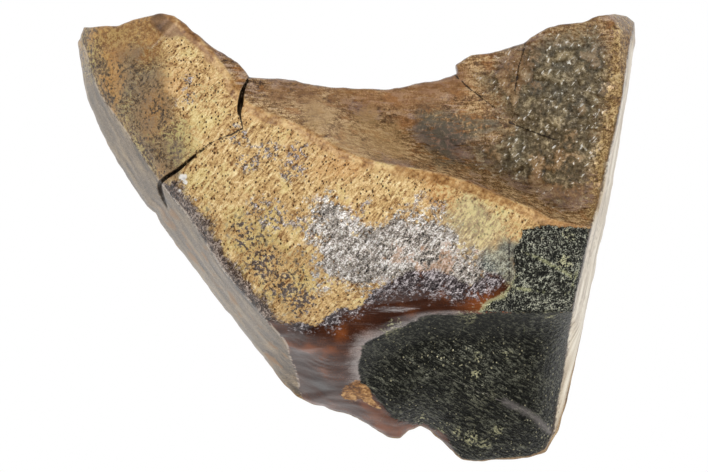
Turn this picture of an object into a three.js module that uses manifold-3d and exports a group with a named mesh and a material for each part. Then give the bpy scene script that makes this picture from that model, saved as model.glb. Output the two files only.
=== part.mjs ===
// A fossil tooth of a horned dinosaur, with the stumps of its two root prongs.
// Millimetres, +Z up. The tooth lies on the flat contact face of its far side: +Y runs from the worn
// crown to the roots, and +X from one flank of the tooth to the other.
//
// The tooth is one solid: the space that is left under a set of faces. Each face starts from a line drawn
// over the tooth as points [x, y, z]. The faces meet in slightly rounded edges, a net of triangles is drawn
// over them, and the crack through the left root prong is cut into it as a groove.

import * as THREE from "three";
import { mergeVertices } from "three/addons/utils/BufferGeometryUtils.js";
import Module from "manifold-3d";

const wasm = await Module();
wasm.setup();

// Driving dimensions.
const cellSize = 0.96; // of the net of triangles
const bendSteps = 4; // between two points of a line
const edgeRadius = 0.3; // of the worn edges between faces
const rimWear = 0.15; // what the rounding of its edges takes off the outline
const rimHeight = 0.8; // of the upright band between the tooth's top and its underside
const undersideSlope = 0.9;
const lobeFall = 0.075; // per square millimetre from the lobe's axis
const lobeBreadth = { crownSide: 8, rootSide: 5.5 };
const flankBulge = 0.1;
const crownBulge = 0.65;
const tipBulge = 0.2;
const openSlope = 1.5; // of a face on the side of its line where it bounds nothing
const browRadius = { worn: 1.4, sharp: 0.16, from: 6, to: 11 }; // between the lobe and the crown, over x
const saddleWall = { left: 5.4, right: 2.4, from: -4, to: 9 }; // width over which it comes down, over x
const saddleLip = { left: 0.4, right: 1, from: -4, to: 6 }; // from 0, soft, to 1, sharp, over x
const saddleLow = 7.2;
const saddleCup = { middle: 4, perSquare: 0.0035 }; // the rise of its floor to both prongs
const rightEdgeRise = { height: 2.6, width: 3.2 };
const lump = { height: 0.25, spacing: 4.2, fromX: 6, fullX: 14, fullY: 13, toY: 16 };
const lumpRow = { alongX: 1, alongY: 0.4, sway: 0.8, swaying: 0.9 }; // their uneven spacing
const lumpColumn = { alongX: -0.3, alongY: 0.9, sway: 0.7, swaying: 1.1 };
const scoopWall = 2.8;
const scoopLip = { left: 0.25, right: 1, from: 1, to: 8 };
const scoopTrough = { x: 9, y: -9, height: 9.4, slope: 0.52, perSquare: 0.012 };
const scoopLow = 0.6; // the least that the scoop lies under the crown's face
const scoopSoftness = 1.2;
const chipDrop = 0.35;
const chipCorner = { x: 12.4, y: 0.7 };
const chipStep = 0.5; // half the width of the step down to the ledge
const chipClimb = 4; // how steeply the ledge's face leaves the tooth outside it
const crackFlare = 1.2; // how far the cutting wedge stands out of the tooth
const tieWithin = 1e-6; // two stretches of a line count as equally near
const mergeWithin = 1e-4; // vertices count as one

// A line of the tooth, bent smoothly through its points.
function bent(points) {
  const through = points.map((point) => new THREE.Vector3(...point));
  const curve = new THREE.CatmullRomCurve3(through, false, "catmullrom", 0.5);
  return curve.getPoints(bendSteps * (points.length - 1)).map((point) => point.toArray());
}

// The plan outline, clockwise from above, starting at the left root prong. z is the underside's height.
const outline = [
  [-22, 14.3, 3.6], [-22.2, 15.5, 3.6], [-21.5, 16.7, 3.6], [-20.6, 16.7, 3.6], [-18.7, 16.7, 3.6],
  [-17.6, 17.2, 3.6], [-16.4, 17.5, 3.6], [-15.2, 17.7, 3.7], [-14.2, 17.5, 3.8], [-13.1, 16.6, 4.2],
  [-11.7, 15.4, 4.8], [-10.6, 14.6, 5.2], [-9.1, 13.7, 5.6], [-8.2, 12.6, 6], [-7.3, 12.5, 6],
  [-4.6, 12.4, 6], [-3.3, 12, 6], [-1.1, 11.8, 6], [3, 11.7, 6], [5.2, 12.2, 6],
  [6.8, 12.4, 6], [8.1, 12.9, 5.8], [8, 13.6, 5.8], [9.2, 14.4, 5.6], [10.9, 14.6, 5.4],
  [13.3, 15.3, 5.2], [14.7, 16.3, 5], [16.1, 16.8, 4.8], [18, 16.9, 4.5], [19.3, 17.5, 4.2],
  [20.6, 17.7, 4], [21.7, 17.5, 3.8], [22.5, 16.9, 3.6], [22.6, 15.5, 3.4], [22, 11.5, 3.2],
  [20.9, 4.5, 2.8], [18.9, -5.1, 2.4], [17.2, -13.2, 2.2], [16.5, -15.7, 2], [15.5, -17.4, 1.8],
  [14.1, -17.9, 1.8], [11.7, -18, 1.8], [9.7, -18.2, 1.8], [8.6, -18, 1.8], [7.6, -17.1, 1.9],
  [6.1, -15.7, 2.2], [5.3, -15.3, 2.4], [4.4, -15.7, 2.2], [3.7, -16.3, 2], [2.7, -16.2, 2],
  [1.2, -15.3, 2.2], [-0.2, -14.4, 2.4], [-1.5, -14.1, 2.4], [-3.4, -13.5, 2.4], [-4.6, -13, 2.4],
  [-5.9, -11.6, 2.4], [-10.3, -6, 2.4], [-14.8, -0.1, 2.4], [-15.6, 1, 2.5], [-15.9, 1.8, 2.6],
  [-16.7, 2.3, 2.7], [-19.1, 6, 3], [-20.4, 8.5, 3.2], [-21.4, 10.9, 3.4], [-21.7, 12.6, 3.5],
];

// The axis of the swollen lobe, from the left root prong across the tooth.
const lobeAxis = bent([
  [-20.5, 17.1, 8], [-16.9, 13.9, 11.2], [-12.9, 9.5, 13.8], [-8.1, 4.8, 15.8], [-2.6, 1.6, 17.4],
  [3.6, -0.3, 17.8], [9.8, -1.1, 16.6], [16.1, -2, 14.4], [20.1, -2.5, 12.9],
]);

// The upper edges of the two flat flanks, from the roots to the crown.
const leftEdge = bent([
  [-21.5, 15.2, 7], [-20.4, 11.9, 8.8], [-19.1, 9.8, 9.8], [-17.2, 7.1, 10.8], [-15.3, 4.3, 11.8],
  [-12.7, 1.1, 12.6], [-10.3, -2.6, 13.2], [-7.5, -5.9, 13], [-6.4, -7.2, 12.4], [-5.4, -8.4, 10.8],
  [-5.1, -9.5, 8.8], [-4.6, -10.9, 6.2], [-4.3, -12.7, 3],
]);
const rightEdge = bent([
  [21.9, 17, 8.6], [21.8, 15.1, 9.4], [21.1, 10.7, 10.6], [20.2, 6.9, 11.4], [19.3, 2.9, 12.2],
  [18.5, 0.1, 12.8], [17.9, -2.6, 12.8], [17.3, -5.3, 12.6], [17, -8.1, 10.9], [16.7, -10.9, 9.2],
  [16.2, -13.7, 7.6], [15.9, -15.8, 5.4], [15.2, -17.2, 3.2],
]);

// The crest between the lobe and the saddle, the hollow in which the next tooth of the row sat.
const crest = bent([
  [-14.1, 17.6, 8], [-11.8, 15.3, 9.4], [-10, 13.1, 10.2], [-8.7, 10.9, 11.2], [-7.3, 9.9, 12],
  [-4.3, 8.7, 13.4], [-0.9, 6.7, 14.8], [2.2, 5.7, 15.6], [5.1, 5.2, 15.8], [8.4, 4.4, 15.3],
  [11.8, 3, 14.6], [13.6, 2.3, 14.2], [15.1, 1.5, 13.7], [17, 0.9, 13.2], [18.5, 0.6, 12.8],
]);

// The brow over the steep face of the crown.
const brow = bent([
  [-6.6, -8, 11.5], [-4.2, -7.5, 13.2], [-1.9, -6.7, 14.2], [0.5, -5.7, 15], [3.6, -5.2, 15.4],
  [6.7, -4.9, 15.6], [10.6, -5.1, 15.2], [13.8, -5.5, 14.2], [17.4, -5.7, 13],
]);

// The rim of the wear scoop, from its foot round its left end to the right flank, and the fold below which
// the scoop turns down to the tip of the crown.
const scoopRim = bent([
  [5.8, -15.5, 3.8], [4.6, -15, 4.2], [3, -14.5, 4.6], [1.8, -13.8, 5.2], [0.3, -13.2, 5.8],
  [-0.7, -12.6, 6.6], [-1.1, -11.7, 7.6], [-0.6, -10.2, 9.4], [0.3, -8.6, 11.4], [1.6, -7.5, 12.6],
  [3.2, -6.7, 13.3], [4.8, -6.1, 13.8], [6.7, -5.9, 14.1], [9.6, -6, 13.9], [12.9, -6, 13.5],
  [17.3, -6, 12.7],
]);
const fold = bent([
  [4.1, -13.8, 6.2], [6, -13.5, 6.8], [8, -13.4, 7], [9.9, -13.4, 7], [11.7, -13.8, 6.9],
  [13.1, -14.2, 6.8], [14.5, -14.7, 6.6], [15.8, -15.6, 6.1],
]);

// The crack, in two stretches: [x, y, z, width, depth].
const cracks = [
  [
    [-8, 12.9, 8.5, 0.26, 1.4], [-8.5, 12.1, 9.6, 0.28, 1.5], [-8.8, 11.2, 10.5, 0.38, 1.6],
    [-8.9, 10.3, 11.3, 0.46, 1.7], [-9, 9.7, 11.9, 0.36, 1.4], [-8.9, 9.1, 12.4, 0.26, 0.9],
    [-8.7, 8.4, 13, 0.14, 0.3],
  ],
  [
    [-11.2, 7.2, 14, 0.14, 0.3], [-12.7, 6.1, 13.8, 0.3, 1.1], [-13.8, 5.2, 13.1, 0.32, 1.2],
    [-14.8, 4.6, 12.2, 0.34, 1.3], [-15.3, 4.1, 11.5, 0.36, 1.3], [-15.2, 3.4, 10.2, 0.34, 1.1],
    [-15, 2.8, 8.9, 0.28, 0.8], [-14.8, 2.1, 7.5, 0.14, 0.3],
  ],
];

const clamp = THREE.MathUtils.clamp;
const mix = THREE.MathUtils.lerp;
const ease = THREE.MathUtils.smoothstep;

// The larger of two distances, eased into each other where they are close.
function blendMax(a, b, radius) {
  const near = Math.max(1 - Math.abs(a - b) / (radius * 2), 0);
  return Math.max(a, b) + (near ** 2 * radius) / 2;
}

// Where (x, y) lies beside a line: how far to the right of its way of travel, and the line's height there.
// The ends of an open line run on straight.
function beside(line, x, y, closed = false) {
  const last = line.length - (closed ? 1 : 2);
  let found = { gap: Infinity, across: 0, height: 0 };
  for (let i = 0; i <= last; i++) {
    const [ax, ay, az] = line[i];
    const [bx, by, bz] = line[(i + 1) % line.length];
    const [dx, dy] = [bx - ax, by - ay];
    const length = Math.hypot(dx, dy);
    const share = ((x - ax) * dx + (y - ay) * dy) / length ** 2;
    const t = clamp(share, !closed && i === 0 ? -Infinity : 0, !closed && i === last ? Infinity : 1);
    const gap = Math.hypot(x - ax - t * dx, y - ay - t * dy);
    const across = ((x - ax) * dy - (y - ay) * dx) / length;
    const nearer = gap < found.gap - tieWithin;
    const tied = Math.abs(gap - found.gap) <= tieWithin && Math.abs(across) > Math.abs(found.across);
    if (nearer || tied) found = { gap, across, height: mix(az, bz, clamp(t, 0, 1)) };
  }
  return { away: Math.sign(found.across) * found.gap, height: found.height };
}

// A face that falls from its line to the rim of the tooth, on the line's outer side. side is 1 where that
// is the right of the way of travel and -1 where it is the left. A flat face has a bulge of 0.
function flank(line, side, bulge) {
  return (x, y, rim) => {
    const { away, height } = beside(line, x, y);
    const outward = side * away;
    if (outward < 0) return { height: height - openSlope * outward, slope: openSlope };
    const breadth = Math.max(outward + Math.max(rim.away, 0), edgeRadius);
    const drop = height - rim.height - rimHeight;
    const fallen = Math.min(outward / breadth, 1);
    return { height: height - drop * fallen * mix(1, fallen, bulge), slope: drop / breadth };
  };
}

// A hollow's face, cut into its cover: inside its rim it drops to the floor over the width of its wall. The
// lip is from 0, soft, to 1, sharp.
function hollow(line, side, { wall, lip, floor, cover }) {
  return (x, y, rim) => {
    const inside = side * beside(line, x, y).away;
    const top = cover(x, y, rim).height;
    if (inside < 0) return { height: top - openSlope * inside, slope: openSlope };
    const drop = top - floor(x, y, top);
    const share = Math.min(inside / wall(x), 1);
    const fallen = mix(ease(share, 0, 1), 1 - (1 - share) ** 2, lip(x));
    return { height: top - drop * fallen, slope: drop / wall(x) };
  };
}

// The lobe falls away on both sides of its axis, and levels out beyond its own edges.
function lobe(x, y) {
  const { away, height } = beside(lobeAxis, x, y);
  const breadth = away > 0 ? lobeBreadth.crownSide : lobeBreadth.rootSide;
  const fallen = breadth * Math.tanh(away / breadth);
  return { height: height - lobeFall * fallen ** 2, slope: lobeFall * breadth };
}

// The steep face of the crown, and its worn passage into the lobe.
function crown(x, y, rim) {
  const { height, slope } = flank(brow, 1, crownBulge)(x, y, rim);
  const radius = mix(browRadius.worn, browRadius.sharp, ease(x, browRadius.from, browRadius.to));
  return { height: -blendMax(-height, -lobe(x, y).height, radius), slope };
}

// Low lumps towards the right root prong.
function lumps(x, y) {
  const turn = (2 * Math.PI) / lump.spacing;
  const placed = ({ alongX, alongY, sway, swaying }, over) => (
    alongX * x + alongY * y + sway * Math.sin(swaying * over)
  );
  const wave = Math.sin(turn * placed(lumpRow, y)) * Math.sin(turn * placed(lumpColumn, x));
  return lump.height * wave * ease(x, lump.fromX, lump.fullX) * (1 - ease(y, lump.fullY, lump.toY));
}

function saddleFloor(x, y) {
  const toProngs = saddleCup.perSquare * (x - saddleCup.middle) ** 2;
  const toRightEdge = rightEdgeRise.height * ease(beside(rightEdge, x, y).away, -rightEdgeRise.width, 0);
  return saddleLow + toProngs + toRightEdge + lumps(x, y);
}

function scoopFloor(x, y, cover) {
  const { height, slope, perSquare } = scoopTrough;
  const trough = height + slope * (y - scoopTrough.y) + perSquare * (x - scoopTrough.x) ** 2;
  return -blendMax(-trough, scoopLow - cover, scoopSoftness);
}

// The chipped ledge between the lobe and the right flank.
function chip(x, y) {
  const within = Math.min(x - chipCorner.x, chipCorner.y - y);
  const { height, slope } = lobe(x, y);
  const clear = Math.max(-within - chipStep, 0) * chipClimb;
  return { height: height - chipDrop * ease(within, -chipStep, chipStep) + clear, slope };
}

const over = (x, { left, right, from, to }) => mix(left, right, ease(x, from, to));
const saddle = {
  wall: (x) => over(x, saddleWall),
  lip: (x) => over(x, saddleLip),
  floor: saddleFloor,
  cover: lobe,
};
const scoop = {
  wall: () => scoopWall,
  lip: (x) => over(x, scoopLip),
  floor: scoopFloor,
  cover: crown,
};

const tops = [
  lobe,
  chip,
  flank(leftEdge, 1, flankBulge),
  flank(rightEdge, -1, 0),
  crown,
  flank(fold, 1, tipBulge),
  hollow(crest, -1, saddle),
  hollow(scoopRim, 1, scoop),
];

// All that decides the tooth's top, underside and rim above one point of the plan.
const columns = new Map();
function column(x, y) {
  const key = `${x},${y}`;
  if (!columns.has(key)) {
    const rim = beside(outline, x, y, true);
    columns.set(key, {
      faces: tops.map((top) => top(x, y, rim)),
      under: rim.height - undersideSlope * rim.away,
      beyond: -rim.away - rimWear,
    });
  }
  return columns.get(key);
}

// How far (x, y, z) lies outside the tooth, about, and less than zero inside it.
function outside(x, y, z) {
  const { faces, under, beyond } = column(x, y);
  const overTops = faces.map(({ height, slope }) => (z - height) / Math.hypot(1, slope));
  const below = (under - z) / Math.hypot(1, undersideSlope);
  return [...overTops, below, -z].reduce((most, next) => blendMax(most, next, edgeRadius), beyond);
}

// Surface nets: one vertex in each cubic cell that the surface crosses, and one quad for each edge of the
// grid that it crosses.
function net(distance, low, high, cell) {
  const count = low.map((from, axis) => Math.ceil((high[axis] - from) / cell) + 1);
  const at = (i, j, k) => (k * count[1] + j) * count[0] + i;
  const place = (i, axis) => low[axis] + i * cell;
  const values = new Float64Array(count[0] * count[1] * count[2]);
  for (let k = 0; k < count[2]; k++)
    for (let j = 0; j < count[1]; j++)
      for (let i = 0; i < count[0]; i++)
        values[at(i, j, k)] = distance(place(i, 0), place(j, 1), place(k, 2));

  const vertexOf = new Map();
  const positions = [];
  const steps = [at(1, 0, 0), at(0, 1, 0), at(0, 0, 1)];
  const corners = [0, 1, 2, 3, 4, 5, 6, 7].map((c) => [c & 1, (c >> 1) & 1, c >> 2]);
  for (let k = 0; k + 1 < count[2]; k++)
    for (let j = 0; j + 1 < count[1]; j++)
      for (let i = 0; i + 1 < count[0]; i++) {
        const sum = new THREE.Vector3();
        let crossings = 0;
        for (const from of corners)
          for (const axis of [0, 1, 2]) {
            if (from[axis]) continue;
            const a = values[at(i + from[0], j + from[1], k + from[2])];
            const b = values[at(i + from[0], j + from[1], k + from[2]) + steps[axis]];
            if (a < 0 === b < 0) continue;
            const point = new THREE.Vector3(i + from[0], j + from[1], k + from[2]);
            point.setComponent(axis, point.getComponent(axis) + a / (a - b));
            sum.add(point);
            crossings++;
          }
        if (!crossings) continue;
        vertexOf.set(at(i, j, k), positions.length);
        const middle = sum.divideScalar(crossings);
        positions.push([place(middle.x, 0), place(middle.y, 1), place(middle.z, 2)]);
      }

  const faces = [];
  for (let k = 1; k + 1 < count[2]; k++)
    for (let j = 1; j + 1 < count[1]; j++)
      for (let i = 1; i + 1 < count[0]; i++)
        for (const axis of [0, 1, 2]) {
          const here = at(i, j, k);
          const [a, b] = [values[here], values[here + steps[axis]]];
          if (a < 0 === b < 0) continue;
          const [u, v] = [steps[(axis + 1) % 3], steps[(axis + 2) % 3]];
          const quad = [here, here - u, here - u - v, here - v].map((cellAt) => vertexOf.get(cellAt));
          if (a > 0) quad.reverse();
          faces.push([quad[0], quad[1], quad[2]], [quad[0], quad[2], quad[3]]);
        }
  return { positions, faces };
}

const gradientStep = 0.02;
const longestPull = 0.2 * cellSize;
const leastSteepness = 0.5;
const settling = { rounds: 4, pulls: 3 };
const wedgePulls = 30; // they bring the crack's points all the way onto the tooth

// The way that the distance grows fastest, and how fast.
function gradientAt(x, y, z) {
  const value = outside(x, y, z);
  return new THREE.Vector3(
    (outside(x + gradientStep, y, z) - value) / gradientStep,
    (outside(x, y + gradientStep, z) - value) / gradientStep,
    (outside(x, y, z + gradientStep) - value) / gradientStep,
  );
}

// Moves a point onto the surface in short pulls along the gradient.
function seat([x, y, z], pulls) {
  const point = new THREE.Vector3(x, y, z);
  for (let pull = 0; pull < pulls; pull++) {
    const way = gradientAt(...point);
    const steepness = Math.max(way.length(), leastSteepness);
    const distance = clamp(outside(...point) / steepness, -longestPull, longestPull);
    point.addScaledVector(way, -distance / steepness);
  }
  return point.toArray();
}

// Evens the net out: each vertex goes to the middle of its neighbours, and back onto the surface.
function settle({ positions, faces }, { rounds, pulls }) {
  for (let round = 0; round < rounds; round++) {
    const sums = positions.map(() => [0, 0, 0, 0]);
    for (const face of faces)
      for (const [from, to] of [[0, 1], [1, 2], [2, 0]]) {
        const sum = sums[face[from]];
        positions[face[to]].forEach((value, axis) => (sum[axis] += value));
        sum[3]++;
      }
    sums.forEach(([x, y, z, links], n) => {
      positions[n] = seat([x / links, y / links, z / links], pulls);
    });
    columns.clear();
  }
}

function solidOf({ positions, faces }) {
  const bare = new THREE.BufferGeometry();
  bare.setAttribute("position", new THREE.Float32BufferAttribute(positions.flat(), 3));
  bare.setIndex(faces.flat());
  const merged = mergeVertices(bare, mergeWithin);
  return new wasm.Manifold(
    new wasm.Mesh({
      numProp: 3,
      vertProperties: merged.attributes.position.array,
      triVerts: new Uint32Array(merged.index.array),
    }),
  );
}

function shapeOf(solid) {
  const { vertProperties, triVerts } = solid.getMesh();
  const geometry = new THREE.BufferGeometry();
  geometry.setAttribute("position", new THREE.Float32BufferAttribute(vertProperties, 3));
  geometry.setIndex([...triVerts]);
  geometry.computeVertexNormals();
  return geometry;
}

// The wedge that cuts a stretch of the crack: a three-sided bar with its edge inside the tooth.
function wedge(stretch) {
  const places = stretch.map(([x, y, z]) => new THREE.Vector3(...seat([x, y, z], wedgePulls)));
  const positions = stretch.flatMap(([, , , width, depth], n) => {
    const outward = gradientAt(...places[n]).normalize();
    const along = places[Math.min(n + 1, places.length - 1)].clone().sub(places[Math.max(n - 1, 0)]);
    const across = along.cross(outward).normalize();
    const spread = (width / 2) * (1 + crackFlare / depth);
    const top = places[n].clone().addScaledVector(outward, crackFlare);
    const left = top.clone().addScaledVector(across, -spread);
    const right = top.clone().addScaledVector(across, spread);
    const edge = places[n].clone().addScaledVector(outward, -depth);
    return [left.toArray(), right.toArray(), edge.toArray()];
  });
  const faces = [[0, 2, 1]];
  for (let n = 0; n + 1 < stretch.length; n++)
    for (const [side, next] of [[0, 1], [1, 2], [2, 0]]) {
      const [a, b, c, d] = [3 * n + side, 3 * n + next, 3 * n + 3 + next, 3 * n + 3 + side];
      faces.push([a, b, c], [a, c, d]);
    }
  const end = positions.length - 3;
  faces.push([end, end + 1, end + 2]);
  return solidOf({ positions, faces });
}

// The corners of the space in which the net is drawn.
const low = [-23.5, -19.5, -1.1];
const high = [24, 19.5, 19.5];
const skin = net(outside, low, high, cellSize);
settle(skin, settling);
const whole = solidOf(skin);
const cracked = cracks.reduce((solid, stretch) => solid.subtract(wedge(stretch)), whole);

const shape = shapeOf(cracked);
shape.computeBoundingBox();
const centre = shape.boundingBox.getCenter(new THREE.Vector3());
shape.translate(-centre.x, -centre.y, 0);

const fossil = new THREE.MeshStandardMaterial({ color: 0x8a6338, roughness: 0.55, metalness: 0 });
const tooth = new THREE.Mesh(shape, fossil);
tooth.name = "tooth";

const group = new THREE.Group();
group.add(tooth);
export default group;
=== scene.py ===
import bpy
import numpy as np
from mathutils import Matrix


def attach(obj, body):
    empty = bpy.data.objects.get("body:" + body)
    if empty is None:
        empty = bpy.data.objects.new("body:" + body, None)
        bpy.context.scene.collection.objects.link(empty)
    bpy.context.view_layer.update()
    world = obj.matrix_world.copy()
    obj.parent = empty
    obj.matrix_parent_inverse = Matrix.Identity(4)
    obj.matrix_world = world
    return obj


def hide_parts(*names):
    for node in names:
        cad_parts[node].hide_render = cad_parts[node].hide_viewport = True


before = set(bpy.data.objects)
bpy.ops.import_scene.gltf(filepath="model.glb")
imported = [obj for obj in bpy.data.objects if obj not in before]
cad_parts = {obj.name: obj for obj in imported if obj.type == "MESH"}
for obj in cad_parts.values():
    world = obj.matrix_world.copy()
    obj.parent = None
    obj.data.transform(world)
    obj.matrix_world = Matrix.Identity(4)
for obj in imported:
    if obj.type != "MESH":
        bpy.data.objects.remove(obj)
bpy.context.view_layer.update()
mm = 0.001
# the tooth's lines are drawn in millimetres round this point of the frame's plan
drawingOrigin = np.array([-0.214, 0.162, 0.0])

# the camera, straight above the tooth
camera = {
    "height": 510.0,  # mm above the surface that the tooth lies on
    "sharpHeight": 10.0,  # where a picture point is pointSize wide
    "pointSize": 0.079,
    "pointsAcross": 708,
    "sensor": 36.0,
}


def makeCamera():
    seen = camera["pointSize"] * camera["pointsAcross"]
    data = bpy.data.cameras.new("camera")
    data.sensor_width = camera["sensor"]
    data.lens = camera["sensor"] * (camera["height"] - camera["sharpHeight"]) / seen
    data.clip_start, data.clip_end = 0.01, 50.0
    eye = bpy.data.objects.new("camera", data)
    eye.location = (drawingOrigin + [0, 0, camera["height"]]) * mm
    bpy.context.scene.collection.objects.link(eye)
    bpy.context.scene.camera = eye


makeCamera()
print("camera made")

# the form of the tooth, in millimetres
form = {
    "cell": 0.16,  # of the net of quads
    "bendSteps": 8,  # between two points of a line
    "edgeRadius": 0.16,  # of the worn edges between faces
    "browRadius": 1.4, "rimWear": 0.075, "rimHeight": 0.75, "undersideSlope": 0.9,
    "lobeFall": 0.075, "lobeCrownSide": 8.0, "lobeRootSide": 5.5,
    "flankBulge": 0.1, "crownBulge": 0.65, "tipBulge": 0.2,
    "openSlope": 1.5,
    "saddleWallLeft": 5.4, "saddleWallRight": 2.4, "saddleLip": 0.4,
    "saddleLow": 7.2, "saddleMiddle": 4, "saddleCurve": 0.0035, "rightEdgeRise": 2.6,
    "scoopWall": 2.8, "scoopLow": 0.6, "scoopSoftness": 1.2, "scoopLip": 0.25,
    "troughLow": 9.4, "troughMiddle": 9, "troughStart": -9, "troughSlope": 0.52, "troughCurve": 0.012,
    "chipDrop": 0.35, "chipFrom": 12.4, "chipTo": 0.7, "chipEdge": 0.15,
    "crackShape": 0.7,
    "tieWithin": 1e-6,
    "settling": 3,  # rounds
    "pulls": 3,  # in each round
    "pullStep": 0.04,
    "triangles": 196000,
}
# the soft noises in the form: height and size in millimetres, seed, octaves
unevenness = {
    "lobe": (0.12, 3.4, 3, 2),
    "chipEdge": (0.25, 0.9, 11, 2),
    "lumps": (0.34, 1.9, 5, 1),
    "smallLumps": (0.3, 1.0, 6, 2),
    "swell": (0.14, 2.6, 7, 1),
    "rim": (0.1, 0.8, 21, 2),
}
# from where to where along x each of these changes
changes = {"brow": (6, 11), "lumps": (5, 13), "saddleWall": (-4, 9), "saddleLip": (-4, 6), "scoopLip": (1, 8)}
low = np.array([-23.6, -19.6, -1.1])
high = np.array([24.1, 19.5, 19.4])


def bent(points):
    p = np.array(points, float)
    p = np.vstack([2 * p[0] - p[1], p, 2 * p[-1] - p[-2]])
    before, start, end, after = p[:-3], p[1:-2], p[2:-1], p[3:]
    out, back = (end - before) / 2, (after - start) / 2
    t = (np.arange(form["bendSteps"]) / form["bendSteps"])[:, None, None]
    line = start * (2 * t**3 - 3 * t**2 + 1) + out * (t**3 - 2 * t**2 + t)
    line = line + end * (3 * t**2 - 2 * t**3) + back * (t**3 - t**2)
    return np.vstack([line.transpose(1, 0, 2).reshape(-1, p.shape[1]), p[-2]])


# clockwise from above, starting at the left root prong; the third number is the underside's height
outline = np.array([
    [-22, 14.3, 3.6], [-22.2, 15.5, 3.6], [-21.5, 16.7, 3.6], [-20.6, 16.7, 3.6], [-18.7, 16.7, 3.6],
    [-17.6, 17.2, 3.6], [-16.4, 17.5, 3.6], [-15.2, 17.7, 3.7], [-14.2, 17.5, 3.8], [-13.1, 16.6, 4.2],
    [-11.7, 15.4, 4.8], [-10.6, 14.6, 5.2], [-9.1, 13.7, 5.6], [-8.2, 12.6, 6], [-7.3, 12.5, 6],
    [-4.6, 12.4, 6], [-3.3, 12, 6], [-1.1, 11.8, 6], [3, 11.7, 6], [5.2, 12.2, 6], [6.8, 12.4, 6],
    [8.1, 12.9, 5.8], [8, 13.6, 5.8], [9.2, 14.4, 5.6], [10.9, 14.6, 5.4], [13.3, 15.3, 5.2],
    [14.7, 16.3, 5], [16.1, 16.8, 4.8], [18, 16.9, 4.5], [19.3, 17.5, 4.2], [20.6, 17.7, 4],
    [21.7, 17.5, 3.8], [22.5, 16.9, 3.6], [22.6, 15.5, 3.4], [22, 11.5, 3.2], [20.9, 4.5, 2.8],
    [18.9, -5.1, 2.4], [17.2, -13.2, 2.2], [16.5, -15.7, 2], [15.5, -17.4, 1.8], [14.1, -17.9, 1.8],
    [11.7, -18, 1.8], [9.7, -18.2, 1.8], [8.6, -18, 1.8], [7.6, -17.1, 1.9], [6.1, -15.7, 2.2],
    [5.3, -15.3, 2.4], [4.4, -15.7, 2.2], [3.7, -16.3, 2], [2.7, -16.2, 2], [1.2, -15.3, 2.2],
    [-0.2, -14.4, 2.4], [-1.5, -14.1, 2.4], [-3.4, -13.5, 2.4], [-4.6, -13, 2.4], [-5.9, -11.6, 2.4],
    [-10.3, -6, 2.4], [-14.8, -0.1, 2.4], [-15.6, 1, 2.5], [-15.9, 1.8, 2.6], [-16.7, 2.3, 2.7],
    [-19.1, 6, 3], [-20.4, 8.5, 3.2], [-21.4, 10.9, 3.4], [-21.7, 12.6, 3.5],
])
lobeAxis = bent([
    [-20.5, 17.1, 8], [-16.9, 13.9, 11.2], [-12.9, 9.5, 13.8], [-8.1, 4.8, 15.8], [-2.6, 1.6, 17.4],
    [3.6, -0.3, 17.8], [9.8, -1.1, 16.6], [16.1, -2, 14.4], [20.1, -2.5, 12.9],
])
leftEdge = bent([
    [-22.1, 16.6, 5], [-21.5, 15.2, 7], [-20.4, 11.9, 8.8], [-19.1, 9.8, 9.8], [-17.2, 7.1, 10.8],
    [-15.3, 4.3, 11.8], [-12.7, 1.1, 12.6], [-10.3, -2.6, 13.2], [-7.5, -5.9, 13], [-6.4, -7.2, 12.4],
    [-5.4, -8.4, 10.8], [-5.1, -9.5, 8.8], [-4.6, -10.9, 6.2], [-4.3, -12.7, 3],
])
rightEdge = bent([
    [22.4, 17.2, 6], [22.1, 16.2, 8.4], [21.8, 15.1, 9.4], [21.1, 10.7, 10.6], [20.2, 6.9, 11.4],
    [19.3, 2.9, 12.2], [18.5, 0.1, 12.8], [17.9, -2.6, 12.8], [17.3, -5.3, 12.6], [17, -8.1, 10.9],
    [16.7, -10.9, 9.2], [16.2, -13.7, 7.6], [15.9, -15.8, 5.4], [15.2, -17.2, 3.2],
])
crest = bent([
    [-14.1, 17.6, 8], [-11.8, 15.3, 9.4], [-10, 13.1, 10.2], [-8.7, 10.9, 11.2], [-7.3, 9.9, 12],
    [-4.3, 8.7, 13.4], [-0.9, 6.7, 14.8], [2.2, 5.7, 15.6], [5.1, 5.2, 15.8], [8.4, 4.4, 15.3],
    [11.8, 3, 14.6], [13.6, 2.3, 14.2], [15.1, 1.5, 13.7], [17, 0.9, 13.2], [18.5, 0.6, 12.8],
])
brow = bent([
    [-6.6, -8, 11.5], [-4.2, -7.5, 13.2], [-1.9, -6.7, 14.2], [0.5, -5.7, 15], [3.6, -5.2, 15.4],
    [6.7, -4.9, 15.6], [10.6, -5.1, 15.2], [13.8, -5.5, 14.2], [17.4, -5.7, 13],
])
scoopRim = bent([
    [5.8, -15.5, 3.8], [4.6, -15, 4.2], [3, -14.5, 4.6], [1.8, -13.8, 5.2], [0.3, -13.2, 5.8],
    [-0.7, -12.6, 6.6], [-1.1, -11.7, 7.6], [-0.6, -10.2, 9.4], [0.3, -8.6, 11.4], [1.6, -7.5, 12.6],
    [3.2, -6.7, 13.3], [4.8, -6.1, 13.8], [6.7, -5.9, 14.1], [9.6, -6, 13.9], [12.9, -6, 13.5],
    [17.3, -6, 12.7],
])
fold = bent([
    [4.1, -13.8, 6.2], [6, -13.5, 6.8], [8, -13.4, 7], [9.9, -13.4, 7], [11.7, -13.8, 6.9],
    [13.1, -14.2, 6.8], [14.5, -14.7, 6.6], [15.8, -15.6, 6.1],
])
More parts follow.
